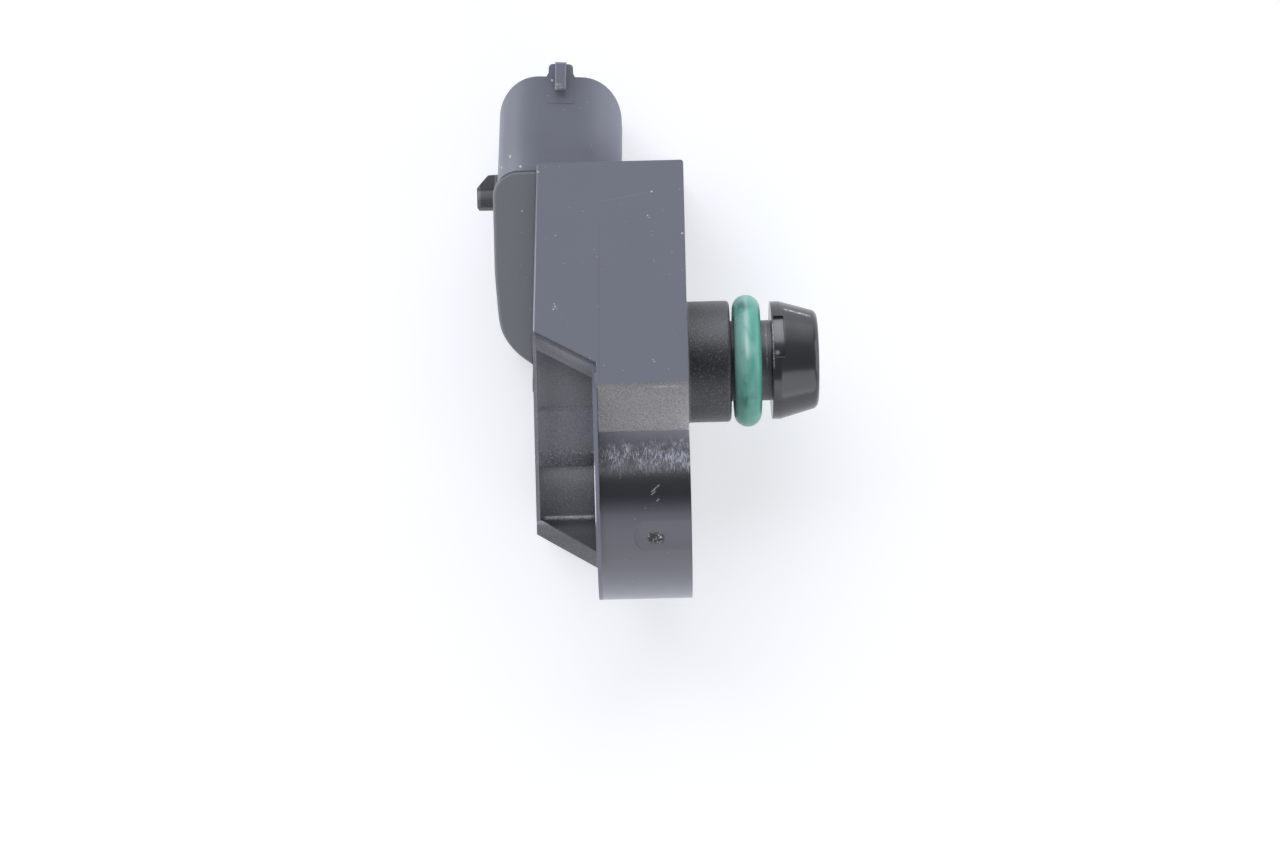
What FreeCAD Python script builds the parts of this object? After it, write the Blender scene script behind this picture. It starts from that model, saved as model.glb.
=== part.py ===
import FreeCAD, Part
import math
import os

V = FreeCAD.Vector

# Air pressure sensor for an intake manifold, in millimetres.
# +X runs out of the port along its axis, +Y towards the plug opening, +Z across the body.
# The origin is on the port axis in the plane of the mounting face.

# Body block
body_half_width = 10.0
body_end_y = 18.9
body_edge_radius = 0.3
seat_edge_radius = 0.2
seat_distance = 14.67
seat_lean = 2.7
block_foot_x = -14.62

# Mounting ear with its waist
screw_pitch = 13.35
ear_radius = 9.5
ear_thickness = 9.0
shoulder_y = -2.0
waist_y = -6.6
gate_pad_width = 3.2
gate_pad_length = 5.5
gate_pad_depth = 0.12
gate_pad_y = -16.5

# Side walls beside the screw head, with an outside recess in each
wall_half_width = 9.7
wall_edge_x = -8.65
wall_top_y = 3.1
wall_top_slant = 28.0
wall_foot_y = -16.06
wall_foot_slant = 31.0
frame_band = 1.55
frame_lip = 0.3
frame_left = 0.35
frame_right_x = -9.08
recess_floor = 7.6
recess_floor_low = 7.2
recess_crease_y = -4.1
recess_break_y = -8.6
recess_valley_y = -9.75
recess_step_y = -14.85
recess_step_floor = 6.75
recess_draft = 0.25
recess_ledge_radius = 0.45
screw_head_clear_radius = 6.6
well_wall = 1.0

# Metal bushing
bushing_outer_radius = 5.0
bushing_bore_radius = 3.2
bushing_proud = 0.15
bushing_groove_depth = 0.35
bushing_groove_width = 2.0

# Port, groove and nose
port_radius = 5.88
port_length = 4.2
port_edge_radius = 0.35
port_foot_radius = 0.3
groove_radius = 3.9
groove_width = 3.98
nose_radius = 5.72
nose_straight = 0.82
nose_cone_angle = 15.9
nose_front_x = 12.68
nose_edge_radius = 0.7
bore_radius = 2.0
bore_mouth_radius = 2.6
bore_mouth_depth = 1.2
window_depth = 0.28
window_inset = 0.16
window_width = 0.98
window_start_angle = 2.0
window_end_angle = 47.0

# O-ring
ring_half_height = 1.24
ring_half_width = 1.31
ring_floor_gap = 0.02
ring_shoulder_gap = 0.33

# Plug collar, in a frame leaned with the cover seat
collar_centre_x = -12.62
collar_half_height = 5.97
collar_half_width = 8.5
collar_corner_radius = 3.9
collar_root_y = 11.1
collar_rim_y = 26.55
collar_draft = 0.65
collar_rim_radius = 3.8
collar_wall = 1.25
collar_floor_y = 13.4
tab_width = 2.3
tab_foot_width = 2.7
tab_height = 1.2
tab_foot_depth = 2.5
tab_flare = 0.35
tab_stand = 0.06
tab_radius = 0.4
rib_width = 1.05
rib_length = 2.6
rib_height = 1.1
rib_stand = 0.1
rib_edge_radius = 0.2
latch_half_width = 2.4
latch_top_y = 18.42
latch_edge_y = 17.2
latch_foot_y = 15.33
latch_proud = 1.82
latch_land = 0.7
latch_root_rise = 0.4
latch_root_depth = 3.4
latch_chamfer = 0.35

# Cover
cover_half_width = 9.3
cover_face_x = -18.02
cover_end_y = 18.28
cover_end_radius = 2.4
cover_toe_y = 9.4
cover_wall = 1.3
cover_edge_radius = 0.35
cover_gap = 0.1
cover_notch_side = 1.0
plate_thickness = 0.95

# The cover's toe comes in to the seat through these shares of its depth and height.
cover_toe = ((0.02, 0.80), (0.066, 0.55), (0.153, 0.35), (0.38, 0.198), (0.83, 0.043))

# Electronics chamber, in the leaned frame
chamber_low_y = -2.4
chamber_high_y = 9.6
chamber_floor_x = -10.2
chamber_corner_radius = 0.8
rebate_width = 1.0
rebate_depth = 1.2
shelf_x = -12.4
shelf_low_y = 7.9

# Cored slots in the mounting face
slot_width = 4.4
slot_pitch = 5.7
slot_low_y = 7.8
slot_high_y = 17.3
slot_depth = 5.2
slot_corner_radius = 1.0

# Terminals
terminal_pitch = 5.0
terminal_width = 2.8
terminal_thickness = 0.8
terminal_tip_y = 23.4
terminal_tail_y = 8.2
terminal_tip_bevel = 0.6
terminal_notch = 0.5

# Circuit plate and what it carries
plate_gap = 0.5
plate_shelf_gap = 0.4
plate_margin = 0.25
part_gap = 0.3
substrate_thickness = 0.8
bead_height = 0.2
bead_width = 0.8
cell_size = 2.4
cell_hole_radius = 0.5
solder_height = 0.06
glass_height = 1.0
chip_height = 0.4
cap_size = 1.3
cap_height = 0.5
pad_height = 0.05
evaluation_size = 3.0
evaluation_height = 0.4
evaluation_y = 4.3
evaluation_pad_pitch = 0.7
chip_pad_pitch = 0.55
bond_pad_size = 0.42
bond_pad_reach = 0.55
chip_pad_reach = 0.75
bond_edge = 0.25
terminal_pad_size = 0.9
wire_radius = 0.06
terminal_wire_radius = 0.15
bond_foot = 0.3
wire_rise = 0.4
terminal_wire_rise = 1.0
terminal_bond_y = 8.8
capacitor_length = 2.0
capacitor_width = 1.25
capacitor_height = 0.9
capacitor_low_y = 0.4
capacitor_pitch = 1.9
resistor_length = 1.6
resistor_width = 0.8
resistor_height = 0.45
resistor_low_y = 3.0
resistor_pitch = 1.3

# Longer than the part, for cuts that run right past it
beyond = 40.0

parts = {}


def block(x0, x1, y0, y1, z0, z1):
    low = V(min(x0, x1), min(y0, y1), min(z0, z1))
    return Part.makeBox(abs(x1 - x0), abs(y1 - y0), abs(z1 - z0), low)


def rod(x0, x1, radius, y=0.0, z=0.0):
    return Part.makeCylinder(radius, x1 - x0, V(x0, y, z), V(1, 0, 0))


def side_prism(points, half_width):
    """Side profile in XY, drawn across the body."""
    corners = [V(x, y, -half_width) for x, y in points]
    face = Part.Face(Part.makePolygon(corners + corners[:1]))
    return face.extrude(V(0, 0, 2 * half_width))


def end_prism(points, x0, x1):
    """Profile in YZ, drawn along the port axis."""
    corners = [V(x0, y, z) for y, z in points]
    face = Part.Face(Part.makePolygon(corners + corners[:1]))
    return face.extrude(V(x1 - x0, 0, 0))


def lean(shape):
    """Turns a shape of the seat frame into the body frame."""
    return shape.copy().rotate(V(0, 0, 0), V(0, 0, 1), -seat_lean)


def seat_x(y):
    """Where the cover seat lies at a height in the body frame."""
    angle = math.radians(seat_lean)
    return (-seat_distance + y * math.sin(angle)) / math.cos(angle)


def rounded_loop(x, half_x, half_z, radius, y):
    """Rounded rectangle in a plane across the collar."""
    corner_x = half_x - radius
    corner_z = half_z - radius
    mid = radius * math.sqrt(0.5)
    turns = ((1, 1), (-1, 1), (-1, -1), (1, -1))
    arcs = []
    for number, (sx, sz) in enumerate(turns):
        start = V(x + sx * half_x, y, sz * corner_z)
        end = V(x + sx * corner_x, y, sz * half_z)
        middle = V(x + sx * (corner_x + mid), y, sz * (corner_z + mid))
        if number % 2:
            start, end = end, start
        arcs.append((start, middle, end))
    edges = []
    for number, (start, middle, end) in enumerate(arcs):
        edges.append(Part.Arc(start, middle, end).toShape())
        edges.append(Part.makeLine(end, arcs[(number + 1) % 4][0]))
    return Part.Wire(edges)


def rounded_column(x0, x1, y0, y1, half_z, radius):
    """Rounded rectangle in YZ, drawn along X."""
    body = block(x0, x1, y0, y1, -half_z, half_z)
    edges = [e for e in body.Edges if abs(e.tangentAt(e.FirstParameter).x) > 0.9]
    return body.makeFillet(radius, edges)


def round_edges(shape, radius, wanted):
    edges = [edge for edge in shape.Edges if wanted(edge)]
    return shape.makeFillet(radius, edges)


def body_block():
    """Block over the port, with the cover seat leaning on one side."""
    fall = (wall_edge_x - seat_x(wall_top_y)) * math.tan(math.radians(wall_top_slant))
    outline = [
        (0, body_end_y),
        (seat_x(body_end_y), body_end_y),
        (seat_x(wall_top_y), wall_top_y),
        (wall_edge_x, wall_top_y - fall),
        (wall_edge_x, shoulder_y),
        (0, shoulder_y),
    ]
    solid = side_prism(outline, body_half_width)
    solid = round_edges(solid, body_edge_radius, lambda e: e.CenterOfMass.y > body_end_y - 0.01)
    middle_y = (body_end_y + wall_top_y) / 2
    return round_edges(
        solid,
        seat_edge_radius,
        lambda e: abs(abs(e.CenterOfMass.z) - body_half_width) < 0.01
        and abs(e.CenterOfMass.y - middle_y) < 1
        and e.CenterOfMass.x < wall_edge_x,
    )


def ear():
    """Round ear with shoulders that draw in to a waist."""
    waist = math.sqrt(ear_radius**2 - (screw_pitch + waist_y) ** 2)
    shoulders = end_prism(
        [
            (shoulder_y + 1, body_half_width),
            (shoulder_y, body_half_width),
            (waist_y, waist),
            (waist_y, -waist),
            (shoulder_y, -body_half_width),
            (shoulder_y + 1, -body_half_width),
        ],
        wall_edge_x - 0.2,
        0,
    )
    core = block(-ear_thickness, 0, shoulder_y, waist_y - 1, -waist, waist)
    disc = rod(-ear_thickness, 0, ear_radius, -screw_pitch)
    return shoulders.fuse([core, disc])


def side_walls():
    """Flat walls from the cover seat down to the ear, ending on a slant."""
    foot_fall = (-block_foot_x + wall_edge_x) * math.tan(math.radians(wall_foot_slant))
    side = side_prism(
        [
            (wall_edge_x, wall_top_y),
            (block_foot_x, wall_top_y),
            (block_foot_x, wall_foot_y),
            (wall_edge_x, wall_foot_y - foot_fall),
        ],
        body_half_width,
    )
    plan = block(
        block_foot_x, wall_edge_x, -screw_pitch, wall_top_y, -wall_half_width, wall_half_width
    )
    plan = plan.fuse(rod(block_foot_x, wall_edge_x, wall_half_width, -screw_pitch))
    walls = side.common(plan)
    return walls.cut(seat_cut())


def seat_cut():
    """Everything beyond the leaned plane that the cover sits on."""
    return lean(block(-beyond, -seat_distance, -0.8, beyond, -beyond, beyond))


def recess_outline(z):
    """Mouth of the recess at one depth. Its top side slopes in towards the floor."""
    depth = (wall_half_width - z) / (wall_half_width - recess_floor_low)
    band = frame_lip + depth * (frame_band - frame_lip)
    left = block_foot_x + frame_left
    run = frame_right_x - left
    top_slope = math.tan(math.radians(wall_top_slant))
    foot_slope = math.tan(math.radians(wall_foot_slant))
    top = wall_top_y - band - frame_left * top_slope
    foot = wall_foot_y + frame_band - frame_left * foot_slope
    corners = [
        V(frame_right_x, top - run * top_slope, z),
        V(left, top, z),
        V(left, foot, z),
        V(frame_right_x, foot - run * foot_slope, z),
    ]
    return Part.makePolygon(corners + corners[:1])


def side_recess():
    """Outside recess of one side wall, whose floor follows the chamber and the screw well."""
    deep = recess_step_floor - 0.2
    mouth = Part.makeLoft([recess_outline(deep), recess_outline(body_half_width + 0.2)], True, True)
    well_radius = screw_head_clear_radius + well_wall

    def well_top(y):
        return math.sqrt(well_radius**2 - (screw_pitch + y) ** 2)

    floor = [
        V(0, wall_top_y, recess_floor_low),
        V(0, recess_crease_y, recess_floor_low + recess_draft),
        V(0, recess_crease_y - 0.3, recess_floor),
        V(0, recess_break_y, recess_floor),
        V(0, recess_valley_y, well_top(recess_valley_y)),
    ]
    edges = [Part.makeLine(a, b) for a, b in zip(floor, floor[1:])]
    round_start = recess_step_y + recess_ledge_radius
    ledge_top = V(0, round_start, well_top(round_start))
    ledge_foot = V(0, recess_step_y, ledge_top.z - recess_ledge_radius)
    share = recess_ledge_radius * (1 - math.sqrt(0.5))
    ledge_middle = V(0, recess_step_y + share, ledge_top.z - share)
    edges.append(Part.Arc(floor[-1], V(0, -screw_pitch, well_radius), ledge_top).toShape())
    edges.append(Part.Arc(ledge_top, ledge_middle, ledge_foot).toShape())
    rest = [
        ledge_foot,
        V(0, recess_step_y, recess_step_floor),
        V(0, -beyond, recess_step_floor),
        V(0, -beyond, beyond),
        V(0, wall_top_y, beyond),
        floor[0],
    ]
    edges += [Part.makeLine(a, b) for a, b in zip(rest, rest[1:])]
    face = Part.Face(Part.Wire(edges))
    return mouth.common(face.extrude(V(-beyond, 0, 0)))


def screw_well():
    """Space for the screw head and its tool above the ear."""
    tube = rod(block_foot_x - 1, -ear_thickness, screw_head_clear_radius, -screw_pitch)
    mouth = block(
        block_foot_x - 1,
        -ear_thickness,
        -screw_pitch,
        -screw_pitch - 12,
        -screw_head_clear_radius,
        screw_head_clear_radius,
    )
    return tube.fuse(mouth)


def gate_pad():
    """Flat on the ear around the moulding gate, open to the mounting face."""
    half = gate_pad_width / 2
    tilt = math.degrees(math.asin((-gate_pad_y - screw_pitch) / ear_radius))
    top = ear_radius - gate_pad_depth
    flat = block(-gate_pad_length + half, 1, -half, half, top, top + 2)
    end = Part.makeCylinder(half, 2, V(-gate_pad_length + half, 0, top), V(0, 0, 1))
    pad = flat.fuse(end)
    pad.rotate(V(0, 0, 0), V(1, 0, 0), tilt)
    pad.translate(V(0, -screw_pitch, 0))
    return pad


def port():
    """Port base, O-ring groove and tapered nose, turned about the port axis."""
    nose_x = port_length + groove_width
    cone_x = nose_x + nose_straight
    slope = math.tan(math.radians(nose_cone_angle))
    tip_radius = nose_radius - (nose_front_x - cone_x) * slope
    outline = [
        (-1, 0),
        (-1, port_radius),
        (0, port_radius),
        (port_length, port_radius),
        (port_length, groove_radius),
        (nose_x, groove_radius),
        (nose_x, nose_radius),
        (cone_x, nose_radius),
        (nose_front_x, tip_radius),
        (nose_front_x, 0),
    ]
    corners = [V(x, r, 0) for x, r in outline]
    face = Part.Face(Part.makePolygon(corners + corners[:1]))
    solid = face.revolve(V(0, 0, 0), V(1, 0, 0), 360)
    for x, radius in ((nose_front_x, nose_edge_radius), (port_length, port_edge_radius)):
        solid = round_edges(
            solid,
            radius,
            lambda e: len(e.Vertexes) == 1
            and abs(e.CenterOfMass.x - x) < 0.01
            and e.Curve.Radius > groove_radius + 0.1,
        )
    return solid.fuse(port_foot())


def port_foot():
    """Small rounding where the port stands on the mounting face."""
    outer = port_radius + port_foot_radius
    bend = outer - port_foot_radius * math.sqrt(0.5)
    rise = port_foot_radius * (1 - math.sqrt(0.5))
    low = port_radius - 0.5
    edges = [
        Part.makeLine(V(-0.5, low, 0), V(-0.5, outer, 0)),
        Part.makeLine(V(-0.5, outer, 0), V(0, outer, 0)),
        Part.Arc(V(0, outer, 0), V(rise, bend, 0), V(port_foot_radius, port_radius, 0)).toShape(),
        Part.makeLine(V(port_foot_radius, port_radius, 0), V(port_foot_radius, low, 0)),
        Part.makeLine(V(port_foot_radius, low, 0), V(-0.5, low, 0)),
    ]
    return Part.Face(Part.Wire(edges)).revolve(V(0, 0, 0), V(1, 0, 0), 360)


def nose_window(turn):
    """Shallow curved window in the straight part of the nose."""
    x0 = port_length + groove_width + window_inset
    span = window_end_angle - window_start_angle
    ring = Part.makeCylinder(nose_radius + 1, window_width, V(x0, 0, 0), V(1, 0, 0), span)
    core = Part.makeCylinder(
        nose_radius - window_depth, window_width + 2, V(x0 - 1, 0, 0), V(1, 0, 0)
    )
    ring.rotate(V(0, 0, 0), V(1, 0, 0), turn - window_start_angle - span)
    return ring.cut(core)


def port_bore():
    """Pressure channel from the nose to the chamber floor, with a bell mouth."""
    channel = rod(chamber_floor_x - 1.5, nose_front_x + 1, bore_radius)
    mouth = Part.makeCone(
        bore_radius,
        bore_mouth_radius,
        bore_mouth_depth,
        V(nose_front_x - bore_mouth_depth, 0, 0),
        V(1, 0, 0),
    )
    return channel.fuse(mouth)


def collar_size(y):
    """Draft takes a little off the collar on its way to the rim."""
    return (y - collar_root_y) * math.tan(math.radians(collar_draft))


def collar_prism(y0, y1, grow=0.0):
    loops = []
    for y in (y0, y1):
        size = grow - collar_size(y)
        loop = rounded_loop(
            collar_centre_x,
            collar_half_height + size,
            collar_half_width + size,
            collar_corner_radius + grow,
            y,
        )
        loops.append(loop)
    return Part.makeLoft(loops, True, True)


def collar_shell():
    """Outside of the plug collar, whose rim is rounded in the side view."""
    prism = collar_prism(collar_root_y, collar_rim_y)
    half = collar_half_height - collar_size(collar_rim_y - collar_rim_radius)
    x0 = collar_centre_x - half
    x1 = collar_centre_x + half
    end = block(x0, x1, collar_root_y - 1, collar_rim_y, -12, 12)
    end = round_edges(
        end,
        collar_rim_radius,
        lambda e: e.CenterOfMass.y > collar_rim_y - 0.01 and abs(e.CenterOfMass.z) < 0.01,
    )
    foot_y = collar_rim_y - collar_rim_radius
    end = end.fuse(block(x0 - 1, x1 + 1, collar_root_y - 1, foot_y, -12, 12))
    return prism.common(end)


def plug_space():
    """Room for the plug inside the collar."""
    loops = []
    for y in (collar_floor_y, collar_rim_y + 3):
        size = collar_wall + collar_size(y) * 0.3
        loop = rounded_loop(
            collar_centre_x,
            collar_half_height - size,
            collar_half_width - size,
            collar_corner_radius - collar_wall,
            y,
        )
        loops.append(loop)
    return Part.makeLoft(loops, True, True)


def guide_tab(side):
    """Tab over the rim with a narrow rib, on one wide face of the collar."""
    rim_wall = collar_half_width - collar_size(collar_rim_y)
    foot = collar_rim_y - tab_foot_depth
    top = collar_rim_y + tab_height
    half = tab_width / 2
    outline = [
        (collar_centre_x - tab_foot_width / 2, foot),
        (collar_centre_x - tab_foot_width / 2, collar_rim_y),
        (collar_centre_x - half, collar_rim_y + tab_flare),
        (collar_centre_x - half, top),
        (collar_centre_x + half, top),
        (collar_centre_x + half, collar_rim_y + tab_flare),
        (collar_centre_x + tab_foot_width / 2, collar_rim_y),
        (collar_centre_x + tab_foot_width / 2, foot),
    ]
    inner = rim_wall - collar_wall + 0.15
    face = Part.Face(Part.makePolygon([V(x, y, inner) for x, y in outline + outline[:1]]))
    tab = face.extrude(V(0, 0, rim_wall + tab_stand - inner))
    tab = round_edges(tab, tab_radius, lambda e: e.CenterOfMass.y > top - 0.01 and e.Length < 2)
    rib = block(
        collar_centre_x - rib_width / 2,
        collar_centre_x + rib_width / 2,
        top + rib_stand - rib_length,
        top + rib_stand,
        rim_wall - 0.3,
        rim_wall + rib_height,
    )
    rib = round_edges(rib, rib_edge_radius, lambda e: e.CenterOfMass.z > rim_wall + rib_height - 0.01)
    both = tab.fuse(rib)
    if side < 0:
        both = both.mirror(V(0, 0, 0), V(0, 0, 1))
    return both


def latch_nose():
    """Wedge that the plug's latch snaps over."""
    root = collar_centre_x + 1
    latch_x = cover_face_x - latch_proud
    outline = [
        (root, latch_top_y + latch_root_rise),
        (cover_face_x - latch_land, latch_top_y),
        (latch_x, latch_edge_y),
        (latch_x, latch_foot_y),
        (root, latch_foot_y),
    ]
    wedge = side_prism(outline, latch_half_width)
    edges = [
        e
        for e in wedge.Edges
        if abs(e.CenterOfMass.x - latch_x) < 0.01 and abs(abs(e.CenterOfMass.z) - latch_half_width) < 0.01
    ]
    wedge = wedge.makeChamfer(latch_chamfer, edges)
    return wedge.common(block(-beyond, collar_centre_x - latch_root_depth, 0, beyond, -beyond, beyond))


def chamber():
    """Space for the electronics, with the cover's rebate and the terminals' shelf."""
    room = rounded_column(
        -seat_distance - 1,
        chamber_floor_x,
        chamber_low_y,
        chamber_high_y,
        chamber_half_width,
        chamber_corner_radius,
    )
    shelf = block(shelf_x, chamber_floor_x + 1, shelf_low_y, chamber_high_y + 1, -beyond, beyond)
    rebate = rounded_column(
        -seat_distance - 1,
        -seat_distance + rebate_depth,
        chamber_low_y - rebate_width,
        chamber_high_y + rebate_width,
        chamber_half_width + rebate_width,
        chamber_corner_radius + rebate_width,
    )
    return room.cut(shelf).fuse(rebate)


def bushing():
    """Metal tube in the ear, with a groove that locks it into the moulding."""
    x0 = -ear_thickness - bushing_proud
    tube = rod(x0, 0, bushing_outer_radius, -screw_pitch)
    mid = x0 / 2
    ring = rod(
        mid - bushing_groove_width / 2,
        mid + bushing_groove_width / 2,
        bushing_outer_radius + 1,
        -screw_pitch,
    )
    core = rod(x0, 0, bushing_outer_radius - bushing_groove_depth, -screw_pitch)
    tube = tube.cut(ring.cut(core))
    return tube.cut(rod(x0 - 1, 1, bushing_bore_radius, -screw_pitch))


def terminal(z):
    """Flat blade from the plug space through the wall to its bonding end on the shelf."""
    half = terminal_width / 2
    x0 = shelf_x - terminal_thickness
    blade = block(x0, shelf_x, terminal_tail_y, terminal_tip_y, -half, half)
    tip = [e for e in blade.Edges if e.CenterOfMass.y > terminal_tip_y - 0.01]
    blade = blade.makeChamfer(terminal_thickness * 0.3, tip)
    notch_y = (chamber_high_y + collar_floor_y) / 2
    for side in (-1, 1):
        notch = block(
            x0 - 1,
            shelf_x + 1,
            notch_y - terminal_notch,
            notch_y + terminal_notch,
            side * (half - terminal_notch / 2),
            side * (half + 1),
        )
        blade = blade.cut(notch)
    blade.translate(V(0, 0, z))
    return lean(blade)


def housing(inserts):
    body = body_block().fuse([ear(), side_walls()])
    body = body.fuse(port())
    body = body.cut(screw_well())
    body = body.cut(rod(-ear_thickness - 1, 1, bushing_bore_radius, -screw_pitch))
    recess = side_recess()
    body = body.cut([recess, recess.mirror(V(0, 0, 0), V(0, 0, 1))])
    body = body.cut(gate_pad())
    collar = lean(collar_shell())
    body = body.fuse(collar)
    body = body.fuse(latch_nose())
    body = body.cut(lean(plug_space()))
    tabs = [lean(guide_tab(side)) for side in (-1, 1)]
    body = body.fuse(tabs)
    body = body.cut(lean(chamber()))
    body = body.cut(port_bore())
    body = body.cut([nose_window(0), nose_window(180)])
    for number in (-1, 0, 1):
        slot = rounded_column(
            -slot_depth, 1, slot_low_y, slot_high_y, slot_width / 2, slot_corner_radius
        )
        slot.translate(V(0, 0, number * slot_pitch))
        body = body.cut(slot)
    body = body.cut(inserts)
    return body.removeSplitter()


def cover():
    """Domed cap on the chamber, open at the collar, with a plate that drops into the rebate."""
    start = V(seat_x(cover_end_y), cover_end_y, 0)
    bend = cover_end_radius * (1 - math.sqrt(0.5))
    bend_start = V(cover_face_x + cover_end_radius, cover_end_y, 0)
    bend_end = V(cover_face_x, cover_end_y - cover_end_radius, 0)
    bend_middle = V(cover_face_x + bend, cover_end_y - bend, 0)
    toe_start = V(cover_face_x, cover_toe_y, 0)
    toe_end = V(seat_x(0), 0, 0)
    toe_depth = toe_end.x - cover_face_x
    toe = [toe_start]
    toe += [V(cover_face_x + toe_depth * x, cover_toe_y * y, 0) for x, y in cover_toe]
    toe += [toe_end]
    curve = Part.BSplineCurve()
    curve.interpolate(Points=toe, InitialTangent=V(0, -1, 0), FinalTangent=V(0.8, -0.6, 0))
    edges = [
        Part.makeLine(start, bend_start),
        Part.Arc(bend_start, bend_middle, bend_end).toShape(),
        Part.makeLine(bend_end, toe_start),
        curve.toShape(),
        Part.makeLine(toe_end, start),
    ]
    face = Part.Face(Part.Wire(edges))
    face.translate(V(0, 0, -cover_half_width))
    dome = face.extrude(V(0, 0, 2 * cover_half_width))
    dome = round_edges(
        dome,
        cover_edge_radius,
        lambda e: abs(abs(e.CenterOfMass.z) - cover_half_width) < 0.01
        and e.CenterOfMass.x < seat_x(e.CenterOfMass.y) - 0.5,
    )
    plate = rounded_column(
        -seat_distance,
        -seat_distance + plate_thickness,
        chamber_low_y - rebate_width + cover_gap,
        chamber_high_y + rebate_width - cover_gap,
        chamber_half_width + rebate_width - cover_gap,
        chamber_corner_radius + rebate_width - cover_gap,
    )
    hollow = block(
        cover_face_x + cover_wall,
        -seat_distance + plate_thickness + 1,
        1.9,
        chamber_high_y - 0.3,
        -chamber_half_width + 0.4,
        chamber_half_width - 0.4,
    )
    solid = dome.fuse(lean(plate))
    solid = solid.cut(lean(hollow))
    solid = solid.cut(lean(collar_prism(collar_root_y - cover_gap, collar_rim_y, cover_gap)))
    half = collar_half_width - collar_corner_radius + cover_notch_side
    notch = block(-beyond, collar_centre_x, collar_root_y - cover_gap, beyond, -half, half)
    return solid.cut(lean(notch)).removeSplitter()


def cover_adhesive():
    """Bead between the ledge of the rebate and the cover plate."""
    x0 = -seat_distance + plate_thickness
    x1 = -seat_distance + rebate_depth
    outer = rounded_column(
        x0,
        x1,
        chamber_low_y - rebate_width + cover_gap,
        chamber_high_y + rebate_width - cover_gap,
        chamber_half_width + rebate_width - cover_gap,
        chamber_corner_radius + rebate_width - cover_gap,
    )
    inner = rounded_column(
        x0 - 1,
        x1 + 1,
        chamber_low_y,
        chamber_high_y,
        chamber_half_width,
        chamber_corner_radius,
    )
    return lean(outer.cut(inner))


def o_ring():
    """Ring whose section is a little flattened where it is stretched over the groove."""
    centre = V(
        port_length + ring_shoulder_gap + ring_half_width,
        groove_radius + ring_floor_gap + ring_half_height,
        0,
    )
    section = Part.Ellipse(centre, ring_half_width, ring_half_height)
    face = Part.Face(Part.Wire([section.toShape()]))
    return face.revolve(V(0, 0, 0), V(1, 0, 0), 360)


def on_plate(level):
    """Distance of a level above the circuit plate, in the seat frame."""
    return chamber_floor_x - bead_height - substrate_thickness - level


def plate_block(level, height, y0, y1, z0, z1):
    return block(on_plate(level), on_plate(level + height), y0, y1, z0, z1)


def square_on_plate(level, height, size, y, z):
    half = size / 2
    return plate_block(level, height, y - half, y + half, z - half, z + half)


def bar_on_plate(size, y, z):
    """Small component of a length across, a width and a height."""
    length, width, height = size
    return plate_block(0, height, y - width / 2, y + width / 2, z - length / 2, z + length / 2)


def substrate():
    plate = plate_block(
        -substrate_thickness, substrate_thickness, plate_low_y, plate_high_y, -plate_half_width, plate_half_width
    )
    hole = rod(-beyond, beyond, cell_hole_radius, cell_y)
    return lean(plate.cut(hole))


def substrate_adhesive():
    x0 = chamber_floor_x - bead_height
    outer = block(x0, chamber_floor_x, plate_low_y, plate_high_y, -plate_half_width, plate_half_width)
    inner = block(
        x0 - 1,
        chamber_floor_x + 1,
        plate_low_y + 0.3,
        plate_high_y - bead_width,
        -plate_half_width + bead_width,
        plate_half_width - bead_width,
    )
    inner = inner.cut(rod(x0 - 1, chamber_floor_x + 1, bore_radius + bead_width, cell_y, 0))
    ring = outer.cut(inner)
    ring = ring.cut(rod(x0 - 1, chamber_floor_x + 1, bore_radius + 0.1, cell_y, 0))
    return lean(ring)


def measuring_cell():
    """Solder ring, glass base and silicon chip over the pressure hole, with a vacuum cap."""
    hole = rod(-beyond, beyond, cell_hole_radius, cell_y)
    solder = square_on_plate(0, solder_height, cell_size, cell_y, 0).cut(hole)
    glass_level = solder_height
    glass = square_on_plate(glass_level, glass_height, cell_size, cell_y, 0).cut(hole)
    chip_level = glass_level + glass_height
    chip = square_on_plate(chip_level, chip_height, cell_size, cell_y, 0)
    etched = square_on_plate(chip_level - 0.01, chip_height - 0.05, 1.0, cell_y, 0)
    chip = chip.cut(etched)
    cap_level = chip_level + chip_height
    cap = square_on_plate(cap_level, cap_height, cap_size, cell_y, 0)
    cap = cap.cut(square_on_plate(cap_level - 0.01, cap_height - 0.15, cap_size - 0.4, cell_y, 0))
    parts["cell_solder_ring"] = lean(solder)
    parts["cell_glass_base"] = lean(glass)
    parts["sensor_chip"] = lean(chip)
    parts["reference_cap"] = lean(cap)
    return chip_level + chip_height


def bond_wire(start, end, rise, radius):
    """One bonded wire: an arc between two flat feet. Points are (level, y, z)."""
    foot_height = radius * 1.4
    feet = []
    ends = []
    for level, y, z in (start, end):
        half = max(bond_foot / 2, radius * 1.3)
        feet.append(plate_block(level, foot_height, y - half, y + half, z - half, z + half))
        ends.append(V(on_plate(level + radius * 1.15), y, z))
    middle = (ends[0] + ends[1]) * 0.5
    middle.x = on_plate(max(start[0], end[0]) + rise)
    arc = Part.Arc(ends[0], middle, ends[1])
    path = Part.Wire([arc.toShape()])
    tangent = arc.toShape().tangentAt(arc.FirstParameter)
    circle = Part.Wire([Part.makeCircle(radius, ends[0], tangent)])
    wire = path.makePipeShell([circle], True, False)
    return wire.fuse(feet)


def group(solids):
    return lean(Part.makeCompound(solids))


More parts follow.
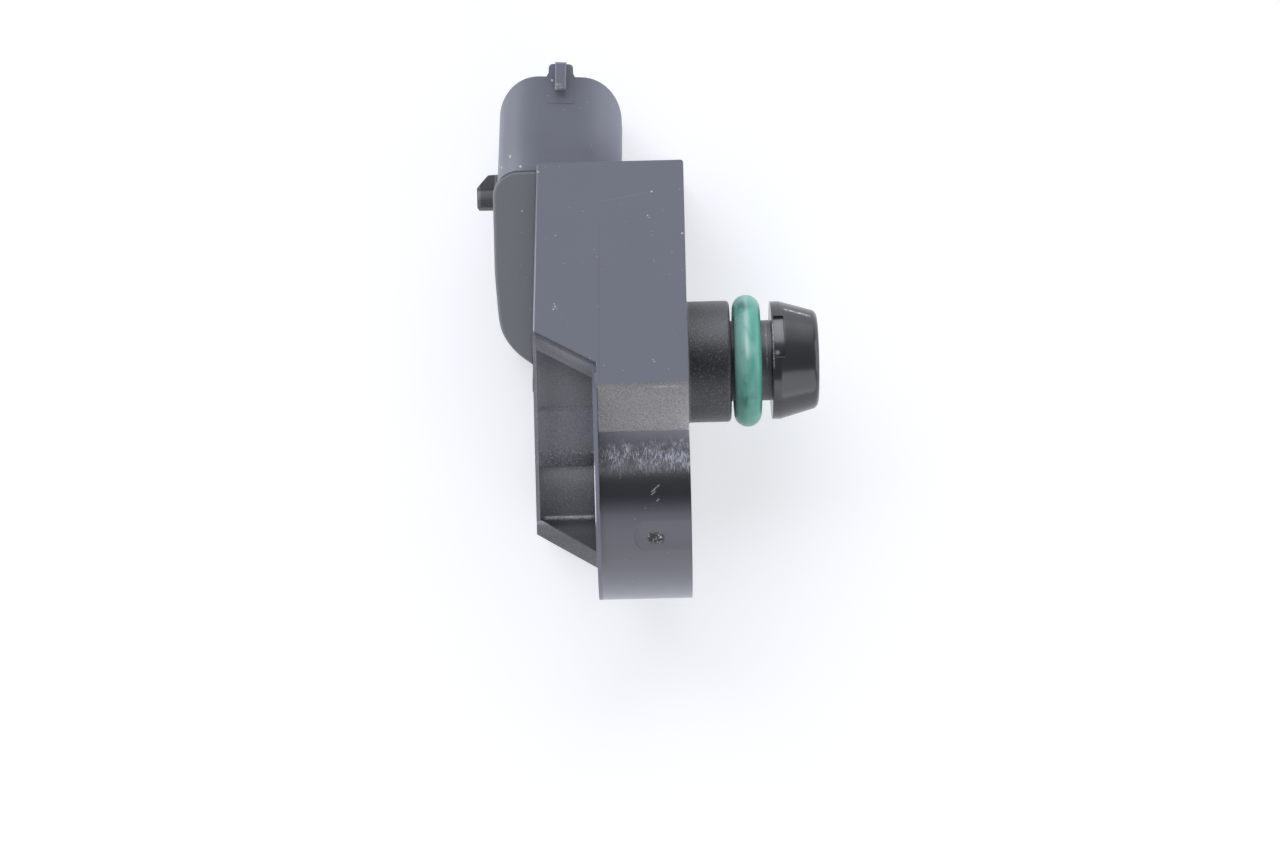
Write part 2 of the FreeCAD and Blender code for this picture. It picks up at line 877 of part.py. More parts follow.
def plate_parts(chip_top):
    """Pads, chips and wires that lie on the circuit plate."""
    lands = []
    terminal_wires = []
    land_y = plate_high_y - terminal_pad_size
    tail_level = on_plate(0) - (shelf_x - terminal_thickness)
    for number in (-1, 0, 1):
        z = number * terminal_pitch
        lands.append(square_on_plate(0, pad_height, terminal_pad_size, land_y, z))
        start = (tail_level, terminal_bond_y, z)
        end = (pad_height, land_y, z)
        terminal_wires.append(bond_wire(start, end, terminal_wire_rise, terminal_wire_radius))
    chip_wires = []
    pad_y = cell_y + cell_size / 2 + chip_pad_reach
    for number in range(4):
        z = (number - 1.5) * chip_pad_pitch
        lands.append(square_on_plate(0, pad_height, bond_pad_size, pad_y, z * 1.2))
        start = (chip_top, cell_y + cell_size / 2 - bond_edge, z)
        chip_wires.append(bond_wire(start, (pad_height, pad_y, z * 1.2), wire_rise, wire_radius))
    half = evaluation_size / 2
    evaluation_z = plate_half_width - plate_margin - bond_pad_size / 2 - bond_pad_reach - half
    evaluation = square_on_plate(0, evaluation_height, evaluation_size, evaluation_y, evaluation_z)
    evaluation_wires = []
    for number in range(4):
        y = evaluation_y + (number - 1.5) * evaluation_pad_pitch
        for side in (-1, 1):
            inner = evaluation_z + side * (half - bond_edge)
            outer = evaluation_z + side * (half + bond_pad_reach)
            lands.append(square_on_plate(0, pad_height, bond_pad_size, y, outer))
            start = (evaluation_height, y, inner)
            end = (pad_height, y, outer)
            evaluation_wires.append(bond_wire(start, end, wire_rise, wire_radius))
    capacitor_z = plate_margin + capacitor_length / 2 - plate_half_width
    resistor_z = capacitor_z + (capacitor_length + resistor_length) / 2 + part_gap
    capacitors = []
    resistors = []
    for number in range(3):
        y = capacitor_low_y + number * capacitor_pitch
        size = (capacitor_length, capacitor_width, capacitor_height)
        capacitors.append(bar_on_plate(size, y, capacitor_z))
        y = resistor_low_y + number * resistor_pitch
        size = (resistor_length, resistor_width, resistor_height)
        resistors.append(bar_on_plate(size, y, resistor_z))
    parts["substrate_tracks"] = group(lands)
    parts["terminal_bond_wires"] = group(terminal_wires)
    parts["chip_bond_wires"] = group(chip_wires)
    parts["evaluation_chip"] = lean(evaluation)
    parts["evaluation_bond_wires"] = group(evaluation_wires)
    parts["filter_capacitors"] = group(capacitors)
    parts["trim_resistors"] = group(resistors)


# The circuit plate reaches just past the outer terminals' lands, and the chamber takes the plate.
plate_low_y = chamber_low_y + plate_gap
plate_high_y = shelf_low_y - plate_shelf_gap
plate_half_width = terminal_pitch + terminal_pad_size / 2 + plate_margin
chamber_half_width = plate_half_width + plate_gap

# The cell stands where the port axis meets the circuit plate.
cell_y = chamber_floor_x * math.sin(math.radians(seat_lean))

parts["mounting_bushing"] = bushing()
parts["supply_terminal"] = terminal(-terminal_pitch)
parts["signal_terminal"] = terminal(0)
parts["ground_terminal"] = terminal(terminal_pitch)
parts["housing"] = housing(list(parts.values()))
parts["cover"] = cover()
parts["cover_adhesive"] = cover_adhesive()
parts["port_o_ring"] = o_ring()
parts["ceramic_substrate"] = substrate()
parts["substrate_adhesive"] = substrate_adhesive()
plate_parts(measuring_cell())

os.makedirs("parts", exist_ok=True)
for name, shape in parts.items():
    shape.exportStep("parts/" + name + ".step")
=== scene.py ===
import math
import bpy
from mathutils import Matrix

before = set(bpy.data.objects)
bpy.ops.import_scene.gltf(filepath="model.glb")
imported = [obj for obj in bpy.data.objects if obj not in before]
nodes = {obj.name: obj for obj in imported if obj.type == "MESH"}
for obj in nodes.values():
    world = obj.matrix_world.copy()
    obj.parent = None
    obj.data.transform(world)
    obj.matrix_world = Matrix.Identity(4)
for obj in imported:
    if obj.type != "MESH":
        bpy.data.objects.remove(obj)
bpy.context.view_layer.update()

from types import SimpleNamespace

import bpy
from mathutils import Euler, Vector

# Places on the sensor, in millimetres, as the part has them.
port_base_end = 4.2
groove_end = 8.18
ring_centre = 5.84
ear_edge_x = -8.62
pocket_edge_x = -9.05
collar_x = -12.6
ledge_y = -14.8
screw_y = -13.35
waist_y = -6.6
shoulder_y = -2.0
near_face = 9.85
floor_z = -10.0
seat_lean = 2.7

camera_place = (-0.004665, -0.006082, 0.320)
camera_turn = -1.4
camera_lens = 92.7
room_level = 0.38
lamp_colour = (0.96, 0.98, 1.06)

plastic_ior = 1.58
glass_ior = 1.47
# Radii, in millimetres, that the moulded edges catch the light on.
soft_edge = 0.14
close_edge = 0.04

# Crumbs of dust that show on the near side, with their sizes.
body_crumbs = (
    ((-16.37, 19.78, 7.35), 0.13), ((-15.37, 18.75, 8.06), 0.12), ((-17.24, 18.84, 6.23), 0.12),
    ((-13.65, 18.05, 9.9), 0.12), ((-3.04, 15.94, 10.0), 0.08), ((-3.48, 13.69, 10.0), 0.07),
    ((-3.32, 13.50, 10.0), 0.05), ((-0.25, 11.95, 9.95), 0.11), ((-12.17, 12.02, 10.0), 0.05),
    ((-12.38, 5.35, 10.0), 0.09), ((-12.55, 5.10, 10.0), 0.07), ((-12.20, 5.15, 10.0), 0.05),
    ((-12.45, 5.60, 10.0), 0.05), ((-3.15, -0.05, 10.0), 0.06), ((-3.30, 0.12, 10.0), 0.05),
    ((-12.19, 26.79, 8.4), 0.11),
)
cover_crumbs = (((-15.29, 14.45, 9.4), 0.11), ((-13.95, 13.72, 9.4), 0.13), ((-16.6, 7.0, 9.4), 0.07))


class Finish:
    """One material, with the nodes that feed its shader. Places are in millimetres."""

    def __init__(self, name):
        self.material = bpy.data.materials.new(name)
        self.material.use_nodes = True
        self.tree = self.material.node_tree
        self.shader = self.tree.nodes["Principled BSDF"]
        place = self.node("ShaderNodeTexCoord")
        self.place = self.vector("SCALE", place.outputs["Object"], scale=1000)
        split = self.node("ShaderNodeSeparateXYZ")
        self.join(self.place, split.inputs[0])
        self.x, self.y, self.z = split.outputs

    def node(self, kind):
        return self.tree.nodes.new(kind)

    def join(self, value, socket):
        """Feeds a socket from another one, or sets it to a number."""
        if isinstance(value, bpy.types.NodeSocket):
            self.tree.links.new(value, socket)
        else:
            socket.default_value = value

    def vector(self, operation, a, b=None, scale=None):
        node = self.node("ShaderNodeVectorMath")
        node.operation = operation
        self.join(a, node.inputs[0])
        if b is not None:
            self.join(b, node.inputs[1])
        if scale is not None:
            node.inputs["Scale"].default_value = scale
        return node.outputs["Value"] if operation in ("LENGTH", "DISTANCE") else node.outputs[0]

    def reckon(self, operation, a, b=0.0):
        node = self.node("ShaderNodeMath")
        node.operation = operation
        self.join(a, node.inputs[0])
        self.join(b, node.inputs[1])
        return node.outputs[0]

    def plus(self, a, b):
        return self.reckon("ADD", a, b)

    def minus(self, a, b):
        return self.reckon("SUBTRACT", a, b)

    def times(self, a, b):
        return self.reckon("MULTIPLY", a, b)

    def above(self, value, level, soft=0.1):
        """1 where the value is over the level, 0 under it."""
        node = self.node("ShaderNodeMapRange")
        node.interpolation_type = "SMOOTHSTEP"
        self.join(value, node.inputs["Value"])
        node.inputs["From Min"].default_value = level - soft
        node.inputs["From Max"].default_value = level + soft
        return node.outputs["Result"]

    def below(self, value, level, soft=0.1):
        return self.minus(1.0, self.above(value, level, soft))

    def both(self, *masks):
        """1 where every mask is 1. A number among them weakens the result by that share."""
        result = masks[0]
        for mask in masks[1:]:
            result = self.times(result, mask)
        return result

    def either(self, *masks):
        result = masks[0]
        for mask in masks[1:]:
            result = self.reckon("MAXIMUM", result, mask)
        return result

    def between(self, value, low, high, soft=0.1):
        return self.both(self.above(value, low, soft), self.below(value, high, soft))

    def near(self, point, radius, soft=0.1):
        return self.below(self.vector("DISTANCE", self.place, point), radius, soft)

    def noise(self, size, stretch=(1, 1, 1), detail=3.0, rough=0.55, shift=(0, 0, 0)):
        """Cloudy pattern, whose size is that of its patches in millimetres."""
        moved = self.vector("ADD", self.place, shift)
        shaped = self.vector("MULTIPLY", moved, [1 / s for s in stretch])
        node = self.node("ShaderNodeTexNoise")
        self.join(shaped, node.inputs["Vector"])
        node.inputs["Scale"].default_value = 1 / size
        node.inputs["Detail"].default_value = detail
        node.inputs["Roughness"].default_value = rough
        return node.outputs["Fac"]

    def dots(self, spacing, radius, soft, shift):
        """Scattered round dots. The radius is a share of their spacing in millimetres."""
        node = self.node("ShaderNodeTexVoronoi")
        self.join(self.vector("ADD", self.place, shift), node.inputs["Vector"])
        node.inputs["Scale"].default_value = 1 / spacing
        return self.below(node.outputs["Distance"], radius, soft)

    def spread(self, value, low, high, to_low, to_high):
        node = self.node("ShaderNodeMapRange")
        self.join(value, node.inputs["Value"])
        node.inputs["From Min"].default_value = low
        node.inputs["From Max"].default_value = high
        node.inputs["To Min"].default_value = to_low
        node.inputs["To Max"].default_value = to_high
        return node.outputs["Result"]

    def along(self, value, *stops):
        """Number that follows a value, straight between stops of a place and a number."""
        low, high = stops[0][0], stops[-1][0]
        node = self.node("ShaderNodeValToRGB")
        self.join(self.spread(value, low, high, 0.0, 1.0), node.inputs[0])
        ramp = node.color_ramp.elements
        ramp[0].color = (*[stops[0][1]] * 3, 1.0)
        ramp[1].color = (*[stops[-1][1]] * 3, 1.0)
        for place, number in stops[1:-1]:
            ramp.new((place - low) / (high - low)).color = (number, number, number, 1.0)
        return node.outputs[0]

    def blend(self, mask, a, b):
        """Colour a where the mask is 0 and colour b where it is 1."""
        node = self.node("ShaderNodeMix")
        node.data_type = "RGBA"
        self.join(mask, node.inputs[0])
        for colour, socket in ((a, node.inputs[6]), (b, node.inputs[7])):
            if isinstance(colour, tuple):
                colour = (*colour, 1.0)
            self.join(colour, socket)
        return node.outputs[2]

    def level(self, mask, a, b):
        """Number a where the mask is 0 and number b where it is 1."""
        node = self.node("ShaderNodeMix")
        node.data_type = "FLOAT"
        self.join(mask, node.inputs[0])
        self.join(a, node.inputs[2])
        self.join(b, node.inputs[3])
        return node.outputs[0]

    def tint(self, level, colour):
        """Colour scaled by a number."""
        return self.blend(level, (0.0, 0.0, 0.0), colour)

    def colour(self, value):
        self.join(value, self.shader.inputs["Base Color"])

    def roughness(self, value):
        self.join(value, self.shader.inputs["Roughness"])

    def relief(self, height, depth, edge=0.0):
        """Bumps of a depth in millimetres, on edges rounded by a radius in millimetres."""
        bump = self.node("ShaderNodeBump")
        bump.inputs["Strength"].default_value = 1.0
        bump.inputs["Distance"].default_value = depth / 1000
        self.join(height, bump.inputs["Height"])
        if edge:
            rounded = self.node("ShaderNodeBevel")
            rounded.samples = 6
            self.join(self.times(edge, 0.001), rounded.inputs["Radius"])
            self.join(rounded.outputs[0], bump.inputs["Normal"])
        self.join(bump.outputs[0], self.shader.inputs["Normal"])

    def set(self, socket, number):
        self.shader.inputs[socket].default_value = number


def from_seat(f):
    """Place across the sensor, measured along the lean of the cover's seat."""
    return f.minus(f.x, f.times(f.y, math.tan(math.radians(seat_lean))))


def body_areas(f):
    """Masks of the moulding's parts and marks, and the patterns that several of them share."""
    area = SimpleNamespace()
    area.depth = f.reckon("ABSOLUTE", f.z)
    area.high = f.above(area.depth, near_face, 0.03)
    area.on_ear = f.both(f.above(f.x, ear_edge_x, 0.03), f.below(f.x, 0.0, 0.02))
    area.ear = f.both(area.on_ear, f.below(f.y, waist_y, 0.08))
    area.shoulder = f.both(area.on_ear, f.between(f.y, waist_y, shoulder_y, 0.1))
    area.base = f.both(f.above(f.x, 0.1, 0.05), f.below(f.x, port_base_end + 0.1, 0.02))
    area.neck = f.between(f.x, port_base_end + 0.1, groove_end - 0.1, 0.02)
    area.nose = f.above(f.x, groove_end - 0.1, 0.05)
    radius = f.vector("LENGTH", f.vector("MULTIPLY", f.place, (0, 1, 1)))
    area.window = f.both(area.nose, f.below(f.x, 9.30, 0.10), f.between(radius, 5.30, 5.54, 0.03))
    area.pocket = f.both(f.below(f.x, pocket_edge_x, 0.02), f.below(f.y, 2.9, 0.1))
    area.pocket = f.both(area.pocket, f.below(area.high, 0.5, 0.1))
    area.collar = f.both(f.above(f.y, 17.3, 0.1), f.below(area.depth, 9.7, 0.1))
    area.seat_x = from_seat(f)
    area.across = f.minus(area.seat_x, collar_x)
    area.latch = f.both(f.below(area.seat_x, -18.95, 0.05), f.between(f.y, 14.5, 18.8))
    # Top edge of the body beside the collar, carrying painted shade in place of its highlight.
    area.brow = f.both(f.above(f.y, 18.66, 0.06), f.above(area.depth, 9.5))

    area.grain = f.noise(0.13, detail=2.0, rough=0.7)
    area.fine = f.noise(0.5, detail=4.0, rough=0.6, shift=(3, 7, 1))

    fray = f.noise(0.7, stretch=(0.4, 1, 1), detail=4.0, shift=(2, 2, 2))
    area.worn_y = f.plus(f.y, f.spread(fray, 0.0, 1.0, -1.8, 1.8))
    area.worn = f.both(area.on_ear, f.between(area.worn_y, -9.9, -7.9, 0.8))
    area.streak = f.noise(0.085, stretch=(0.8, 6, 6), detail=4.0, rough=0.8)

    area.gate = f.either(f.near((-3.65, -16.6, 8.75), 0.55, 0.18), f.near((-3.2, -16.7, 8.75), 0.55, 0.18))
    area.pitted = f.both(area.gate, f.above(f.noise(0.26, detail=3, rough=0.8), 0.48, 0.05))
    area.stub = f.near((-11.70, 25.95, 9.35), 0.48, 0.15)
    area.torn = f.both(area.stub, f.above(f.noise(0.25, detail=3, rough=0.8, shift=(5, 1, 1)), 0.48, 0.08))
    seam_x = f.minus(f.x, f.times(f.y, 0.0238))
    area.seam = f.both(f.between(seam_x, -8.41, -8.33, 0.05), f.between(f.y, -1.8, 13.0, 0.8), area.high)
    return area


def pocket_painted_light(f, area, tone):
    """Cored pocket beside the screw, with painted light and shade: floor tone in steps, a lighter upper
    wall and an even rim.
    """
    # Floor tone in bands along its height: painted light and shade of the recess.
    floor = f.along(f.y, (-14.8, 0.095), (-12.5, 0.100), (-10.5, 0.090), (-9.8, 0.080), (-9.7, 0.160),
                    (-8.5, 0.160), (-7.4, 0.190), (-4.5, 0.205), (-4.4, 0.150), (-4.1, 0.150),
                    (-4.0, 0.190), (-1.0, 0.240), (2.9, 0.25))
    # Painted light toward the pocket's cover-side edge, against the shade there.
    floor = f.times(floor, f.along(f.x, (-14.3, 1.0), (-13.2, 0.72)))
    floor = f.times(floor, 1.38)
    below_ledge = f.below(f.y, ledge_y, 0.02)
    # Painted light just under the step, against the shadow it casts.
    floor = f.level(below_ledge, floor, f.along(f.y, (-16.5, 0.13), (-15.3, 0.17), (-14.9, 0.34)))
    # Upper wall and rim: painted light where they face the lamps.
    slope = f.plus(f.y, f.times(f.x, 0.53))
    upper_wall = f.both(f.above(slope, -6.20, 0.05), f.above(f.y, -2.5, 0.1))
    wall_painted_light = f.along(area.depth, (7.2, 0.56), (8.2, 0.44), (9.0, 0.40), (9.7, 0.34))
    floor = f.level(upper_wall, floor, wall_painted_light)
    rim = f.both(f.above(area.depth, 9.5), f.below(below_ledge, 0.5))
    floor = f.level(rim, floor, 0.19)
    return f.blend(area.pocket, tone, f.tint(floor, (1.0, 1.02, 1.10)))


def shoulder_painted_light(f, area, tone):
    """Slope from the body down to the ear, with painted light that is lightest at its foot."""
    # Painted light along the slope; the grain only varies it.
    light = f.along(f.y, (-6.6, 0.56), (-6.0, 0.46), (-5.0, 0.37), (-4.0, 0.32), (-2.6, 0.27),
                    (-2.0, 0.215))
    light = f.times(light, f.spread(area.grain, 0.3, 0.7, 0.6, 1.4))
    return f.blend(area.shoulder, tone, f.tint(light, (1.0, 0.97, 0.99)))


def port_tone_and_painted_light(f, area, tone):
    """Port: dark base with a painted highlight on its upper side, grey neck, black nose with painted light
    and shade in its window and one painted highlight spot.
    """
    # Painted highlight: the base is lighter on its upper side.
    base_painted_highlight = f.along(f.y, (-3.0, 0.018), (-0.5, 0.018), (2.0, 0.030), (5.0, 0.034))
    tone = f.blend(area.base, tone, f.tint(base_painted_highlight, (1.0, 1.0, 1.15)))
    tone = f.blend(area.neck, tone, (0.102, 0.104, 0.114))
    tone = f.blend(area.nose, tone, (0.026, 0.026, 0.030))
    # Painted light and shade across the window.
    window_painted_shading = f.along(f.y, (0.0, 0.02), (0.6, 0.03), (1.6, 0.05), (2.4, 0.10), (3.2, 0.11),
                           (3.9, 0.04))
    tone = f.blend(area.window, tone, f.tint(window_painted_shading, (1.0, 1.0, 1.08)))
    # Painted highlight spot in the window.
    return f.blend(f.near((8.62, 0.60, 5.42), 0.20, 0.14), tone, (0.24, 0.24, 0.26))


def ear_painted_reflection(f, area, tone):
    """Round ear with painted reflection: darkest in the band at the screw's height, lighter toward its
    lower end and its top.
    """
    # Painted reflection: dark band where the overhead shows, lighter where the floor would reflect.
    level = f.along(f.y, (-22.8, 0.28), (-22.0, 0.24), (-21.0, 0.20), (-20.0, 0.170), (-18.5, 0.140),
                    (-17.5, 0.130), (-16.0, 0.143), (-15.0, 0.132), (-14.4, 0.110), (-13.9, 0.078),
                    (-13.4, 0.050), (-13.0, 0.034), (-12.6, 0.024), (-9.5, 0.018), (-8.2, 0.020),
                    (-7.5, 0.080), (-6.6, 0.230))
    return f.blend(area.ear, tone, f.tint(level, (1.0, 1.02, 1.17)))


def grain_tone(f, area, tone):
    """Dark pits and pale specks of the moulding grain, strongest on the pocket's rough step."""
    rougher = f.both(area.pocket, f.between(f.y, -9.75, -8.2, 0.4))
    pits = f.both(f.either(area.base, area.pocket), f.below(area.grain, 0.47, 0.10))
    tone = f.blend(f.both(pits, f.level(rougher, 0.25, 0.50)), tone, (0.018, 0.018, 0.022))
    specks = f.either(f.both(f.either(area.base, area.pocket, area.neck), f.above(area.grain, 0.62, 0.06)),
                      f.both(rougher, f.above(area.grain, 0.55, 0.05)))
    return f.blend(f.both(specks, f.level(rougher, 0.40, 0.90)), tone, (0.28, 0.28, 0.33))


def collar_painted_sheen(f, area, tone):
    """Plug collar with a painted sheen at its round sides and painted light at its root against the shade
    of the step.
    """
    # Painted sheen toward the round sides.
    sides = f.along(area.across, (-6.2, 0.45), (-5.4, 0.10), (-4.4, 0.0), (1.5, 0.0), (3.0, 0.12),
                    (4.5, 0.32), (5.6, 0.65), (6.2, 0.95))
    sides = f.both(sides, f.above(area.depth, 3.6, 1.0))
    # Painted light at the root, against the step's shade.
    root = f.along(f.y, (18.9, 0.22), (20.2, 0.08), (21.5, 0.0))
    return f.blend(f.both(area.collar, f.either(sides, root)), tone, (0.30, 0.31, 0.37))


def turned_away_tone(f, area, tone):
    """Inside of the plug mouth, the body's plug end and its mounting face, all plain black."""
    mouth = f.either(f.both(f.between(area.across, -4.85, 4.85), f.below(area.depth, 5.6)),
                     f.both(f.between(area.across, -3.6, 3.6), f.below(area.depth, 7.35)))
    mouth = f.both(mouth, f.above(f.y, 19.4))
    plug_end = f.both(f.above(f.x, -13.6), f.between(f.y, 18.4, 18.93, 0.02))
    mounting_face = f.both(f.between(f.x, -0.12, 0.06, 0.03), f.above(f.y, shoulder_y, 0.1))
    turned_away = f.both(f.either(mouth, plug_end, mounting_face), f.below(area.depth, 9.6))
    return f.blend(turned_away, tone, (0.070, 0.073, 0.084))


def latch_painted_light(f, area, tone):
    """Painted light and shade on the latch nose, painted shade on the body's edge over it and a painted
    highlight along the cover's seat.
    """
    # Painted light and shade of the latch's facets.
    level = f.along(f.y, (14.9, 0.055), (16.0, 0.055), (16.4, 0.13), (16.85, 0.17), (17.0, 0.05),
                    (17.2, 0.065), (18.6, 0.085))
    tone = f.blend(area.latch, tone, f.tint(level, (1.0, 1.0, 1.02)))
    # Painted shade that hides the highlight on the body's top edge.
    tone = f.blend(area.brow, tone, (0.075, 0.080, 0.100))
    # Painted highlight along the cover's seat.
    seat_highlight_strip = f.both(f.between(area.seat_x, -14.72, -14.53, 0.04), f.above(area.depth, 9.4, 0.2))
    seat_painted_highlight = f.along(f.y, (2.8, 0.0), (3.2, 0.75), (9.0, 0.55), (12.0, 0.30), (17.5, 0.05))
    return f.blend(f.both(seat_highlight_strip, seat_painted_highlight), tone, (0.42, 0.43, 0.47))


def ear_scratches_and_glints(f, area, tone):
    """Band of fine scratches across the top of the ear, pale partly as wear and partly as painted
    highlight of the lamp in them, and three short nicks below it.
    """
    patch = f.noise(0.9, stretch=(1, 1.3, 1.3), detail=3.0, shift=(4, 4, 1))
    over = f.minus(area.streak, f.along(f.x, (-8.6, 0.545), (-5.0, 0.54), (-1.5, 0.515), (0.0, 0.525)))
    over = f.plus(over, f.spread(patch, 0.3, 0.7, -0.08, 0.08))
    scratches = f.both(area.worn, f.above(over, 0.0, 0.05))

    along_nick = f.plus(f.times(f.x, 0.77), f.times(f.y, 0.64))
    ragged = f.plus(f.y, f.spread(f.noise(0.25, detail=3, shift=(1, 1, 9)), 0.3, 0.7, -0.08, 0.08))
    off_nick = f.minus(f.times(f.x, 0.64), f.times(ragged, 0.77))
    first = f.both(f.between(off_nick, 7.05, 7.11, 0.035), f.between(along_nick, -10.75, -9.75, 0.15))
    second = f.both(f.between(off_nick, 7.26, 7.33, 0.035), f.between(along_nick, -10.95, -10.45, 0.15))
    third = f.both(f.between(off_nick, 8.02, 8.14, 0.06), f.between(along_nick, -11.3, -10.5, 0.3))
    nicks = f.either(f.both(first, f.above(area.fine, 0.42, 0.1)), f.both(second, 0.7),
                     f.both(third, f.above(area.fine, 0.52, 0.06), 0.5))
    nicks = f.both(area.ear, nicks, f.above(f.z, 5.0))
    # Scratches: real wear with a painted highlight in their pale tone.
    tone = f.blend(f.both(scratches, 0.75), tone, (0.40, 0.42, 0.50))
    return f.blend(f.both(nicks, 0.9), tone, (0.55, 0.56, 0.60))


def gate_marks(f, area, tone):
    """Pitted gate on the ear and the torn stub on the collar's rib."""
    tone = f.blend(f.both(area.gate, 0.85), tone, (0.014, 0.014, 0.016))
    tone = f.blend(f.both(area.pitted, f.above(area.fine, 0.55, 0.04)), tone, (0.50, 0.50, 0.52))
    return f.blend(f.both(area.torn, 0.8), tone, (0.40, 0.39, 0.35))


def edge_marks_and_highlights(f, area, tone):
    """Rubbed edges of the groove, painted highlights on the nose, the pocket's step and the ear's edge,
    and the dark line beside the ear.
    """
    sparkle = f.above(f.noise(0.20, detail=3, rough=0.8, shift=(3, 1, 8)), 0.46, 0.1)
    crumbly = f.above(f.noise(0.16, detail=3, rough=0.8, shift=(8, 3, 1)), 0.50, 0.06)
    lips = f.either(f.between(f.x, 7.60, 7.74, 0.04), f.between(f.x, 8.20, 8.32, 0.04))
    lips = f.both(lips, f.between(f.y, -0.8, 3.4, 0.4), f.above(f.z, 0.0), crumbly)
    tone = f.blend(f.both(lips, 0.8), tone, (0.40, 0.40, 0.43))
    # Painted glint along the top of the nose.
    nose_painted_glint = f.plus(f.y, f.times(f.minus(f.x, 9.55), 0.286))
    nose_painted_glint = f.both(f.between(nose_painted_glint, 4.72, 4.88, 0.06), f.between(f.x, 9.5, 11.9, 0.3))
    nose_painted_glint = f.both(nose_painted_glint, f.above(f.z, 0.0), crumbly)
    tone = f.blend(f.both(nose_painted_glint, 0.8), tone, (0.60, 0.60, 0.62))
    # Painted highlight on the pocket's step.
    ledge_painted_highlight = f.both(f.between(f.x, -13.9, -9.2, 0.3), f.between(f.y, -14.80, -14.44, 0.09))
    ledge_painted_highlight = f.both(ledge_painted_highlight, f.between(area.depth, 6.9, 7.7), f.level(sparkle, 0.3, 1.0))
    tone = f.blend(ledge_painted_highlight, tone, (0.62, 0.62, 0.65))
    # Painted highlight along the ear's edge.
    painted_ear_edge_highlight = f.both(f.between(f.x, -9.12, -9.00, 0.03), f.between(f.y, -15.2, -9.6, 0.5))
    painted_ear_edge_highlight = f.both(painted_ear_edge_highlight, f.above(area.depth, 9.0), f.level(sparkle, 0.6, 1.0))
    tone = f.blend(painted_ear_edge_highlight, tone, (0.85, 0.86, 0.88))
    dark_edge = f.both(f.between(f.x, -8.68, -8.58, 0.03), f.between(f.y, -14.0, -2.3, 0.2))
    dark_edge = f.both(dark_edge, f.above(f.noise(0.5, shift=(6, 2, 2)), 0.40, 0.1))
    return f.blend(f.both(dark_edge, 0.6), tone, (0.02, 0.02, 0.025))


def face_marks(f, area, tone):
    """Parting line on the near face, a rub on the shoulder and one thin scratch."""
    tone = f.blend(f.both(area.seam, 0.12), tone, (0.04, 0.04, 0.05))
    rub = f.both(f.between(f.y, -2.50, -2.34, 0.08), f.between(f.x, -3.4, -1.0, 0.8))
    rub = f.both(rub, f.above(area.fine, 0.40, 0.1))
    tone = f.blend(f.both(rub, 0.5), tone, (0.55, 0.54, 0.56))
    scratch = f.minus(f.y, f.times(f.x, 0.175))
    scratch = f.both(f.between(scratch, 16.45, 16.50, 0.03), f.between(f.x, -7.9, -3.1, 0.6), area.high)
    return f.blend(f.both(scratch, 0.15), tone, (0.5, 0.5, 0.5))


def dust_marks(f, area, tone):
    """Fine dust in patches, a few motes on the near face and the crumbs."""
    dusty = f.above(f.noise(2.5, shift=(9, 2, 4)), 0.50, 0.05)
    flecks = f.both(f.dots(0.8, 0.055, 0.02, (0.4, 0.9, 0.2)), dusty)
    motes = f.both(f.dots(1.2, 0.040, 0.015, (7, 3, 5)), area.high, f.below(f.y, 12.0, 3.0))
    dust = f.both(f.either(flecks, motes), f.below(f.x, 0.1))
    tone = f.blend(f.both(dust, 0.5), tone, (0.70, 0.70, 0.70))
    crumbs = [f.near(place, size, 0.05) for place, size in body_crumbs]
    crumbs = f.both(f.either(*crumbs), f.above(f.noise(0.10, shift=(4, 2, 6)), 0.44, 0.06))
    return f.blend(f.both(crumbs, 0.85), tone, (0.75, 0.74, 0.68))


def body_roughness(f, area):
    """Satin body, smoother collar top and nose, dull shoulder, latch and gate."""
    rough = f.level(f.noise(2.5, detail=3, shift=(1, 1, 5)), 0.38, 0.45)
    collar = f.along(area.across, (-4.5, 0.40), (-2.0, 0.36), (2.0, 0.36), (4.5, 0.60))
    rough = f.level(area.collar, rough, collar)
    rough = f.level(area.shoulder, rough, 0.50)
    rough = f.level(area.pocket, rough, f.along(f.y, (-4.6, 0.42), (-4.5, 0.8), (-4.0, 0.8), (-3.9, 0.42)))
    rough = f.level(area.base, rough, 0.34)
    rough = f.level(area.nose, rough, f.level(area.fine, 0.12, 0.24))
    ear = f.along(f.y, (-22.8, 0.30), (-20.0, 0.40), (-15.5, 0.40), (-13.5, 0.25), (-6.6, 0.25))
    ear = f.plus(ear, f.along(area.worn_y, (-10.9, 0.0), (-9.2, 0.13), (-6.6, 0.15)))
    rough = f.level(area.ear, rough, ear)
    return f.level(f.either(area.latch, area.brow, area.gate, area.stub), rough, 0.6)


def body_relief(f, area):
    """Grain, deepest on the port's base, with the scratches, the gate's pits and the parting line."""
    grainy = f.either(area.base, area.shoulder, area.pocket)
    height = f.times(area.grain, f.level(area.base, f.level(grainy, 0.10, 1.0), 1.8))
    height = f.plus(height, f.times(f.both(area.worn, area.streak), 2.6))
    height = f.minus(height, f.times(f.either(area.pitted, area.torn), 2.5))
    height = f.minus(height, f.times(area.seam, 0.6))
    rib_foot = f.both(area.collar, f.above(f.y, 24.2), f.between(area.across, -2.2, 2.6))
    block_top = f.both(f.above(f.y, 18.2, 0.2), f.above(area.depth, 8.8, 0.1))
    close = f.either(area.pocket, area.latch, area.window, rib_foot, block_top)
    f.relief(height, 0.022, edge=f.level(close, soft_edge, close_edge))


